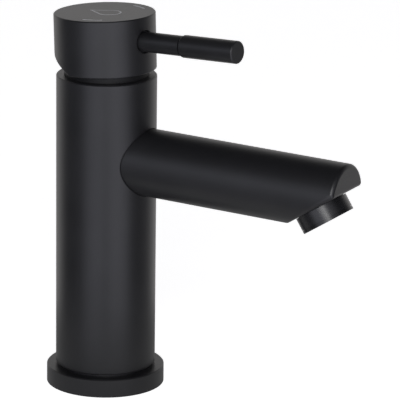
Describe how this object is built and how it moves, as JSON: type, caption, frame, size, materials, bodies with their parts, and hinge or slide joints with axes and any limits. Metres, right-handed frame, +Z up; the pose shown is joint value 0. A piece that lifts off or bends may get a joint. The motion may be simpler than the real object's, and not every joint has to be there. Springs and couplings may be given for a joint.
{
  "type": "bathroom mixer faucet",
  "caption": "Single-lever basin mixer with a round column, straight tubular spout with a cut nose and angled aerator, and a pin-lever cap that turns and lifts.",
  "frame": {"origin": "on the column's axis at the deck surface that the base flange rests on", "axes": "+Z up along the column, -Y along the spout, +X to the right of a user who faces the spout"},
  "size_m": [0.0532, 0.1485, 0.2181],
  "materials": {
    "matte_black_coat": "matte black electrophoretic coat over brass, fine even texture",
    "black_aerator_coat": "black coat over brass, smoother and glossier than the body's",
    "black_acetal": "moulded black acetal",
    "white_acetal": "moulded natural acetal",
    "grey_polymer": "moulded grey engineering plastic",
    "alumina_ceramic": "lapped alumina",
    "nitrile_rubber": "moulded black rubber",
    "raw_brass": "turned brass",
    "zinc_plated_steel": "bright zinc plate over steel",
    "stainless_mesh": "stainless steel",
    "grey_print": "light grey inlay, satin"
  },
  "bodies": {
    "root": {"column_body": "matte_black_coat", "base_flange": "matte_black_coat", "base_gasket": "nitrile_rubber", "spout": "matte_black_coat", "spout_nipple": "raw_brass", "spout_seal": "nitrile_rubber", "aerator_housing": "black_aerator_coat", "aerator_washer": "nitrile_rubber", "aerator_filter": "stainless_mesh", "aerator_insert": "black_acetal", "aerator_screen": "grey_polymer", "bonnet_ring": "matte_black_coat", "cartridge_nut": "raw_brass", "cartridge_housing": "white_acetal", "cartridge_base": "white_acetal", "port_seals": "nitrile_rubber", "fixed_disc": "alumina_ceramic", "mounting_stud": "zinc_plated_steel", "horseshoe_gasket": "nitrile_rubber", "horseshoe_plate": "zinc_plated_steel", "clamp_nut": "raw_brass"},
    "turret": {"turret": "grey_polymer", "pivot_pin": "stainless_mesh"},
    "handle": {"cartridge_stem": "raw_brass", "handle_cap": "matte_black_coat", "lever_rod": "matte_black_coat", "lever_grip": "matte_black_coat", "grub_screw": "zinc_plated_steel", "temperature_marks": "grey_print", "drop_emblem": "grey_print"},
    "disc_slider": {"moving_disc": "alumina_ceramic", "disc_carrier": "grey_polymer"}
  },
  "joints": [
    {"name": "handle_turn", "type": "hinge", "parent": "root", "child": "turret", "pos_m": [0, 0, 0.1334], "axis": [0, 0, 1], "range_deg": [-36.76, 53.24]},
    {"name": "handle_lift", "type": "hinge", "parent": "turret", "child": "handle", "pos_m": [0, 0, 0.1334], "axis": [-0.9897, 0.1433, 0], "range_deg": [-2.16, 21.8]},
    {"name": "disc_slide", "type": "slide", "parent": "turret", "child": "disc_slider", "axis": [-0.1433, -0.9897, 0], "range_m": [-0.00045, 0.0039]}
  ],
  "couplings": [
    {"joint": "disc_slide", "follows": "handle_lift", "m_per_rad": 0.009729}
  ]
}
